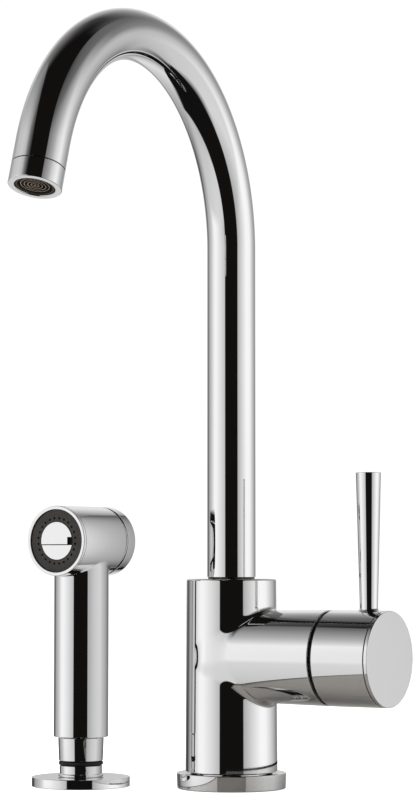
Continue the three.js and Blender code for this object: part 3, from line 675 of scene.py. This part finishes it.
# ---------------------------------------------------------------------------------------------------
# Spout: one brass tube, bent in a wide arch and plated, with an outlet collar screwed on its end. The
# black slip ring under the tube shows as the fine line where it enters the body.
# ---------------------------------------------------------------------------------------------------
spout_chrome = plated("spout_chrome")
TUBE_RADIUS, TUBE_BORE = 13.2, 11.75
TUBE_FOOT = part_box("spout_tube")[0].z / MM
ARCH_RADIUS, ARCH_HEIGHT = 99.8, 293.3
ARCH_ANGLE = radians(162.4)
SPOUT_TURN = radians(4.4)
OUTLET_LENGTH, COLLAR_LENGTH, COLLAR_SEAM = 23.3, 10.5, 0.3
spout_turned = Matrix.Rotation(SPOUT_TURN, 4, "Z")


def bent_tube(radius, tail):
    """The tube's skin: a circle drawn up, swung round the arch, and drawn out along its end."""
    shape = bmesh.new()
    rim = bmesh.ops.create_circle(shape, segments=96, radius=radius * MM)["verts"]
    bmesh.ops.translate(shape, verts=rim, vec=(0, 0, TUBE_FOOT * MM))
    foot = list(shape.edges)

    def draw(edges, vector):
        grown = bmesh.ops.extrude_edge_only(shape, edges=edges)["geom"]
        corners = [item for item in grown if isinstance(item, bmesh.types.BMVert)]
        bmesh.ops.translate(shape, verts=corners, vec=vector)
        return [item for item in grown if isinstance(item, bmesh.types.BMEdge)
                and all(end in corners for end in item.verts)]

    shoulder = draw(foot, (0, 0, (ARCH_HEIGHT - TUBE_FOOT) * MM))
    swept = bmesh.ops.spin(shape, geom=shoulder, cent=(0, -ARCH_RADIUS * MM, ARCH_HEIGHT * MM),
                           axis=(1, 0, 0), angle=ARCH_ANGLE, steps=120, use_merge=False)["geom_last"]
    last = [item for item in swept if isinstance(item, bmesh.types.BMEdge)]
    draw(last, Vector((0, -sin(ARCH_ANGLE), cos(ARCH_ANGLE))) * tail * MM)
    return shape


tube_tail = OUTLET_LENGTH - COLLAR_LENGTH - COLLAR_SEAM
skin = bent_tube(TUBE_RADIUS, tube_tail)
bore = bent_tube(TUBE_BORE, tube_tail)
wall = bpy.data.meshes.new("tube_bore")
bore.to_mesh(wall)
bore.free()
skin.from_mesh(wall)
bpy.data.meshes.remove(wall)
rims = [item for item in skin.edges if item.is_boundary]
foot_rims = [item for item in rims if item.verts[0].co.y > -ARCH_RADIUS * MM]
bmesh.ops.bridge_loops(skin, edges=foot_rims)
bmesh.ops.bridge_loops(skin, edges=[item for item in rims if item not in foot_rims])
bmesh.ops.recalc_face_normals(skin, faces=skin.faces)
bmesh.ops.transform(skin, matrix=spout_turned, verts=skin.verts)
tube = as_object("spout_gooseneck", skin)
fit(ease_edges(tube, 0.15, 50), spout_chrome, "spout_chrome", "spout", "spout_tube")

arch_end = Vector((0, ARCH_RADIUS * (cos(ARCH_ANGLE) - 1), ARCH_HEIGHT + ARCH_RADIUS * sin(ARCH_ANGLE))) * MM
at_outlet = spout_turned @ Matrix.Translation(arch_end) @ Matrix.Rotation(ARCH_ANGLE, 4, "X")
collar_back = OUTLET_LENGTH - COLLAR_LENGTH
COLLAR_BORE, MOUTH_RADIUS, LIP = 11.7, 9.95, 1.3
collar_profile = [(COLLAR_BORE, collar_back), (TUBE_RADIUS, collar_back), (TUBE_RADIUS, OUTLET_LENGTH),
                  (MOUTH_RADIUS, OUTLET_LENGTH), (MOUTH_RADIUS, OUTLET_LENGTH - LIP),
                  (COLLAR_BORE, OUTLET_LENGTH - LIP)]
collar = as_object("outlet_ring", turned(collar_profile, at_outlet, ring=True))
fit(ease_edges(collar, 0.35), spout_chrome, "spout_chrome", "spout", "outlet_collar")

# The jet former in the outlet is a dark moulding with raised rings, its face just inside the collar's.
jet_plastic = moulded("jet_plastic", (0.012, 0.009, 0.007), (0.024, 0.018, 0.013))
face_at = OUTLET_LENGTH - 0.5
JET_RADIUS, JET_DEPTH = 11.3, 4.7
SHOULDER_RADIUS, SHOULDER_DEPTH = 9.6, 1.1
RINGS, RING_PITCH, RING_DEPTH, GROOVE_DEPTH = 4, 1.7, 0.5, 1.9
jet_profile = [(0, face_at - JET_DEPTH), (JET_RADIUS, face_at - JET_DEPTH),
               (JET_RADIUS, face_at - SHOULDER_DEPTH), (SHOULDER_RADIUS, face_at - SHOULDER_DEPTH),
               (SHOULDER_RADIUS, face_at), (SHOULDER_RADIUS - 1, face_at)]
for number in range(RINGS):
    outer = 8.4 - number * RING_PITCH
    jet_profile += [(outer, face_at - GROOVE_DEPTH), (outer - 1.15, face_at - GROOVE_DEPTH),
                    (outer - 1.2, face_at - RING_DEPTH), (outer - 1.6, face_at - RING_DEPTH)]
jet_profile += [(1.4, face_at - GROOVE_DEPTH), (0.7, face_at - GROOVE_DEPTH), (0.6, face_at - RING_DEPTH),
                (0, face_at - RING_DEPTH)]
jet = as_object("jet_former", turned(jet_profile, at_outlet, steps=96))
fit(ease_edges(jet, 0.08), jet_plastic, "dark_plastic", "spout", "aerator")
# A lighter copy of the jet former's moulding, laid on the ring crests as a painted highlight.
jet.data.materials.append(moulded("jet_crests_painted_highlight", (0.13, 0.1, 0.075), (0.2, 0.16, 0.12), 0.35))
to_face = (at_outlet.to_3x3() @ Vector((0, 0, 1))).normalized()
crest = (at_outlet @ Vector((0, 0, (face_at - RING_DEPTH) * MM))).dot(to_face)
for face in jet.data.polygons:
    # The crests of the rings are painted lighter than the grooves between them, a painted highlight on the
    # same dark moulding.
    if face.normal.dot(to_face) > 0.9 and abs(face.center.dot(to_face) - crest) < 0.1 * MM:
        face.material_index = 1

# ---------------------------------------------------------------------------------------------------
# Spray holder: a flat plated flange on the counter, a short collar standing in it, and a black liner
# whose rim shows above the collar.
# ---------------------------------------------------------------------------------------------------
spray_chrome = plated("spray_chrome")
liner_rubber = moulded("liner_rubber", (0.006, 0.006, 0.006), (0.014, 0.014, 0.014), 0.5)
holder_low, holder_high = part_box("holder_flange")
spray_at = (holder_low + holder_high) / 2
HOLDER_RADIUS = (holder_high.x - holder_low.x) / 2 / MM
HOLDER_TOP = holder_high.z / MM
HOLDER_BORE, HOLDER_SEAT_INNER, HOLDER_SEAT_OUTER = 11.9, 21, 24.6
at_holder = Matrix.Translation((spray_at.x, spray_at.y, 0))
holder = as_object("spray_flange", turned([
    (HOLDER_BORE, 0), (HOLDER_SEAT_INNER, 0), (HOLDER_SEAT_INNER, SEAT_DEPTH),
    (HOLDER_SEAT_OUTER, SEAT_DEPTH), (HOLDER_SEAT_OUTER, 0), (HOLDER_RADIUS, 0),
    (HOLDER_RADIUS, HOLDER_TOP), (HOLDER_BORE, HOLDER_TOP),
], at_holder, steps=160, ring=True))
fit(ease_edges(holder, 0.4), spray_chrome, "spray_chrome", "base", "holder_flange")

NECK_BORE, NECK_RADIUS, NECK_LOW, NECK_TOP = 9.4, 11.6, 0.6, 11.2
BEAD_RADIUS = 12.4
neck_foot = HOLDER_TOP + 0.3
holder_ring = as_object("holder_neck", turned([
    (NECK_BORE, NECK_LOW), (NECK_RADIUS, NECK_LOW), (NECK_RADIUS, neck_foot), (BEAD_RADIUS, neck_foot),
    (BEAD_RADIUS, neck_foot + 1), (NECK_RADIUS, neck_foot + 1.3), (NECK_RADIUS + 0.1, NECK_TOP),
    (NECK_BORE, NECK_TOP),
], at_holder, ring=True))
fit(ease_edges(holder_ring, 0.2), spray_chrome, "spray_chrome", "base", "holder_collar")

LINER_BORE, LINER_RADIUS, LINER_LOW = 7.7, 9.1, 1.2
LIP_RADIUS, LIP_LOW, LIP_TOP, LIP_BULGE = 11.4, 11.5, 13.6, 0.65
liner_profile = [(LINER_BORE, LINER_LOW), (LINER_RADIUS, LINER_LOW), (LINER_RADIUS, LIP_LOW),
                 (LIP_RADIUS, LIP_LOW)]
for turn_down in range(30, 151, 20):
    angle = radians(turn_down)
    lip_height = (LIP_TOP + LIP_LOW) / 2 - (LIP_TOP - LIP_LOW) / 2 * cos(angle)
    liner_profile.append((LIP_RADIUS + 0.1 + LIP_BULGE * sin(angle), lip_height))
liner_profile += [(LIP_RADIUS, LIP_TOP), (LINER_BORE, LIP_TOP)]
liner = as_object("holder_liner", turned(liner_profile, at_holder, ring=True))
fit(ease_edges(liner, 0.12, 40), liner_rubber, "rubber", "base", "holder_bush")

# ---------------------------------------------------------------------------------------------------
# Hand spray: stem and head cast in one, plated. The conical nut at its foot joins the hose and drops
# into the holder's liner.
# ---------------------------------------------------------------------------------------------------
NUT_BORE, NUT_TAIL, NUT_LOW = 5.3, 7.4, 3.2
NUT_FOOT, NUT_FOOT_RADIUS = 13.9, 12.05
NUT_TOP, NUT_TOP_RADIUS = 26.3, 12.5
THREAD_RADIUS, THREAD_TOP = 9, 33
nut_profile = [(NUT_BORE, NUT_LOW), (NUT_TAIL, NUT_LOW), (NUT_TAIL, NUT_FOOT), (NUT_FOOT_RADIUS, NUT_FOOT),
               (NUT_TOP_RADIUS, NUT_TOP), (THREAD_RADIUS, NUT_TOP), (THREAD_RADIUS, THREAD_TOP),
               (NUT_BORE, THREAD_TOP)]
nut = as_object("hose_nut_turned", turned(nut_profile, at_holder, ring=True))
fit(ease_edges(nut, 0.3), spray_chrome, "spray_chrome", "spray", "hose_nut")

wand_low, wand_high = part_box("spray_body")
STEM_FOOT = wand_low.z / MM
HEAD_RADIUS = (wand_high.x - wand_low.x) / 2 / MM
HEAD_HEIGHT = wand_high.z / MM - HEAD_RADIUS
head_front = (spray_at.y - wand_low.y) / MM
head_back = (spray_at.y - wand_high.y) / MM
at_head = Matrix.Translation((spray_at.x, spray_at.y, HEAD_HEIGHT * MM)) @ Matrix.Rotation(pi / 2, 4, "X")
STEM_RADIUS, STEM_ROUND = 14.95, 0.5
STEM_BORE, STEM_BORE_DEPTH = 9.3, 6
JOINT_LOW, STEM_END = HEAD_HEIGHT - 24, HEAD_HEIGHT - 2
BUTTON_WELL, BUTTON_WELL_FLOOR = 16.6, -5
FACE_WELL, FACE_WELL_FLOOR = 17.3, 8
BACK_ROUND = 0.35
FINE_STEP, STEM_FADE = 0.5, 8
stem_profile = [(0, STEM_FOOT + STEM_BORE_DEPTH), (STEM_BORE, STEM_FOOT + STEM_BORE_DEPTH),
                (STEM_BORE, STEM_FOOT), (STEM_RADIUS - 0.7, STEM_FOOT)]
stem_profile += rounded(STEM_RADIUS, STEM_FOOT, STEM_ROUND, rising=False)
stem_profile += steps_between((STEM_RADIUS, STEM_FOOT + STEM_ROUND), (STEM_RADIUS, JOINT_LOW), 4)
stem_profile += steps_between((STEM_RADIUS, JOINT_LOW), (STEM_RADIUS, STEM_END), FINE_STEP)
stem_profile += [(STEM_RADIUS, STEM_END), (0, STEM_END)]
head_profile = [(0, BUTTON_WELL_FLOOR), (BUTTON_WELL, BUTTON_WELL_FLOOR), (BUTTON_WELL, head_back),
                (HEAD_RADIUS - 0.5, head_back)]
head_profile += rounded(HEAD_RADIUS, head_back, BACK_ROUND, rising=False)
head_profile += steps_between((HEAD_RADIUS, head_back + BACK_ROUND), (HEAD_RADIUS, head_front - 0.1),
                              FINE_STEP)
head_profile += [(HEAD_RADIUS, head_front - 0.1), (HEAD_RADIUS - 0.1, head_front), (FACE_WELL, head_front),
                 (FACE_WELL, FACE_WELL_FLOOR), (0, FACE_WELL_FLOOR)]
wand = joined("spray_casting", turned(stem_profile, at_holder, steps=160),
              turned(head_profile, at_head, steps=192))


def off_stem(points):
    """Distance outside the stem, which ends below the middle of the head."""
    over = np.maximum(points[:, 2] - (HEAD_HEIGHT - STEM_FADE), 0.0)
    return np.hypot(points[:, 0] - spray_at.x / MM, points[:, 1] - spray_at.y / MM) - STEM_RADIUS + over


def off_head(points):
    """Distance outside the head."""
    return np.hypot(points[:, 0] - spray_at.x / MM, points[:, 2] - HEAD_HEIGHT) - HEAD_RADIUS


soft_corner(wand, off_stem, off_head, 0.7, 0.9)
fit(wand, spray_chrome, "spray_chrome", "spray", "spray_body")

rim_front = (spray_at.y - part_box("spray_rim")[0].y) / MM
RIM_BORE = 17.2
rim_profile = [(RIM_BORE, head_front + 0.1), (HEAD_RADIUS, head_front + 0.1)]
rim_profile += rounded(HEAD_RADIUS, rim_front, 0.35, steps=6)
rim_profile += [(RIM_BORE + 0.1, rim_front), (RIM_BORE, rim_front - 0.1)]
face_rim = as_object("face_rim", turned(rim_profile, at_head, steps=160, ring=True))
fit(ease_edges(face_rim, 0.1, 60), spray_chrome, "spray_chrome", "spray", "spray_rim")

# The spray face: a dark moulded plate with one ring of fine holes, round a flat plated disc whose
# lower part is set back and which has a notch at the end of the step.
plate_plastic = moulded("plate_plastic", (0.022, 0.019, 0.016), (0.034, 0.03, 0.026), 0.42)
PLATE_BORE, PLATE_RADIUS, PLATE_DEPTH = 10.5, 17.0, 2.7
NOZZLES, NOZZLE_CIRCLE, NOZZLE_DEPTH = 24, 12.4, 2.4
plate_front = (spray_at.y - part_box("nozzle_plate")[0].y) / MM
plate = as_object("spray_plate", turned([
    (PLATE_BORE, plate_front - PLATE_DEPTH), (PLATE_RADIUS, plate_front - PLATE_DEPTH),
    (PLATE_RADIUS, plate_front - 0.1), (PLATE_RADIUS - 0.1, plate_front), (PLATE_BORE + 0.1, plate_front),
    (PLATE_BORE, plate_front - 0.1),
], at_head, steps=160, ring=True))


def cut_away(piece, tools):
    """Cuts a tool out of a piece."""
    tool = as_object(piece.name + "_tool", tools)
    away = piece.modifiers.new("cut", "BOOLEAN")
    away.operation = "DIFFERENCE"
    away.solver = "EXACT"
    away.object = tool
    bpy.context.view_layer.update()
    shape = bmesh.new()
    shape.from_object(piece, bpy.context.evaluated_depsgraph_get())
    piece.modifiers.clear()
    bpy.data.objects.remove(tool)
    shape.to_mesh(piece.data)
    shape.free()
    piece.data.set_sharp_from_angle(angle=radians(35))
    return piece


holes = bmesh.new()
out_to_hole = Matrix.Translation((NOZZLE_CIRCLE * MM, 0, plate_front * MM))
for number in range(NOZZLES):
    around = Matrix.Rotation(tau * (number + 0.5) / NOZZLES, 4, "Z")
    bmesh.ops.create_cone(holes, cap_ends=True, segments=16, radius1=0.62 * MM, radius2=0.78 * MM,
                          depth=NOZZLE_DEPTH * MM, matrix=at_head @ around @ out_to_hole)
cut_away(plate, holes)
fit(ease_edges(plate, 0.06, 50, 2), plate_plastic, "dark_plastic", "spray", "nozzle_plate")

disc_front = (spray_at.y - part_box("centre_disc")[0].y) / MM
DISC_RADIUS, DISC_DEPTH = 10.2, 2.8
disc = as_object("spray_disc", turned([
    (0, disc_front - DISC_DEPTH), (DISC_RADIUS, disc_front - DISC_DEPTH), (DISC_RADIUS, disc_front),
    (0, disc_front),
], at_head, steps=128))
# Each cut is a block, given by its size and by its middle from the middle of the disc's front.
lower_part = ((30, 20, 2), (0, -12, 0.7))
step_groove = ((30, 0.5, 4), (0, -2.1, -0.4))
end_notch = ((8, 4.3, 4), (11.2, -0.1, 0))
for size, middle in (lower_part, step_groove, end_notch):
    block = bmesh.new()
    at_block = at_head @ Matrix.Translation((Vector(middle) + Vector((0, 0, disc_front))) * MM)
    bmesh.ops.create_cube(block, size=1, matrix=at_block @ Matrix.Diagonal((*(Vector(size) * MM), 1)))
    cut_away(disc, block)
fit(disc, face_chrome, "face_chrome", "spray", "centre_disc")
disc.data.materials.append(gap_painted_shade)
from_head = at_head.inverted()
for face in disc.data.polygons:
    # The walls and floors of the groove and the notch are painted black, a painted shade in these hollows of
    # the plated disc.
    place = from_head @ face.center
    inside = hypot(place.x, place.y) < (DISC_RADIUS - 0.1) * MM
    if inside and 0.6 * MM < disc_front * MM - place.z < (DISC_DEPTH - 0.1) * MM:
        face.material_index = 1

# The thumb button closes the back of the head behind a fine groove, its edge turned to a broad chamfer.
button_back = (spray_at.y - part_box("spray_button")[1].y) / MM
CHAMFER, BUTTON_GAP = 1.6, 1.8
SKIRT_RADIUS, SKIRT_END, SKIRT_BORE = 16.2, -9.5, 14.5
BUTTON_FLOOR, BOSS_RADIUS, BOSS_END = -23, 4, -14.3
groove = head_back - BUTTON_GAP
button_profile = [(0, button_back), (HEAD_RADIUS - CHAMFER, button_back),
                  (HEAD_RADIUS - 0.25, button_back + CHAMFER), (HEAD_RADIUS, button_back + 2.2),
                  (HEAD_RADIUS, groove), (SKIRT_RADIUS, groove), (SKIRT_RADIUS, SKIRT_END),
                  (SKIRT_BORE, SKIRT_END), (SKIRT_BORE, BUTTON_FLOOR), (BOSS_RADIUS, BUTTON_FLOOR),
                  (BOSS_RADIUS, BOSS_END), (0, BOSS_END)]
button = as_object("thumb_button", turned(button_profile, at_head, steps=160))
fit(ease_edges(button, 0.3, 20), spray_chrome, "spray_chrome", "button", "spray_button")

# ---------------------------------------------------------------------------------------------------
# Inner pieces keep their machined shapes and get their real finishes: turned brass, steel, black
# rubber and white moulded plastic.
# ---------------------------------------------------------------------------------------------------


def machined(name, colour, roughness):
    """Cut metal with fine turning marks round the piece."""
    material = bpy.data.materials.new(name)
    material.use_nodes = True
    metal = Nodes(material.node_tree)
    shader = metal.add("ShaderNodeBsdfPrincipled")
    shader.inputs["Metallic"].default_value = 1.0
    place = metal.add("ShaderNodeTexCoord").outputs["Object"]
    marks = metal.add("ShaderNodeTexNoise")
    marks.inputs["Scale"].default_value = 1400
    marks.inputs["Detail"].default_value = 3
    metal.link(place, marks.inputs["Vector"])
    darker = tuple(channel * 0.8 for channel in colour)
    tone = metal.ramp(marks.outputs["Fac"], [(0.35, darker), (0.65, colour)])
    metal.link(tone, shader.inputs["Base Color"])
    dullness = metal.math("MULTIPLY_ADD", marks.outputs["Fac"], 0.2, roughness - 0.1)
    metal.link(dullness, shader.inputs["Roughness"])
    metal.link(shader.outputs[0], metal.add("ShaderNodeOutputMaterial").inputs["Surface"])
    return material


inner_finish = {
    "brass": machined("turned_brass", (0.62, 0.44, 0.16), 0.32),
    "steel": machined("cut_steel", (0.5, 0.5, 0.5), 0.3),
    "rubber": liner_rubber,
    "white_plastic": moulded("white_plastic", (0.62, 0.61, 0.58), (0.7, 0.69, 0.66), 0.5),
    "dark_plastic": moulded("black_plastic", (0.008, 0.008, 0.008), (0.016, 0.016, 0.016), 0.4),
}
slots_by_node = {part["node"]: part["material_slot"] for part in frame["record"]["subparts"]}
for name, node in frame["nodes"].items():
    if slots_by_node[name] in inner_finish:
        node.data.materials.clear()
        node.data.materials.append(inner_finish[slots_by_node[name]])
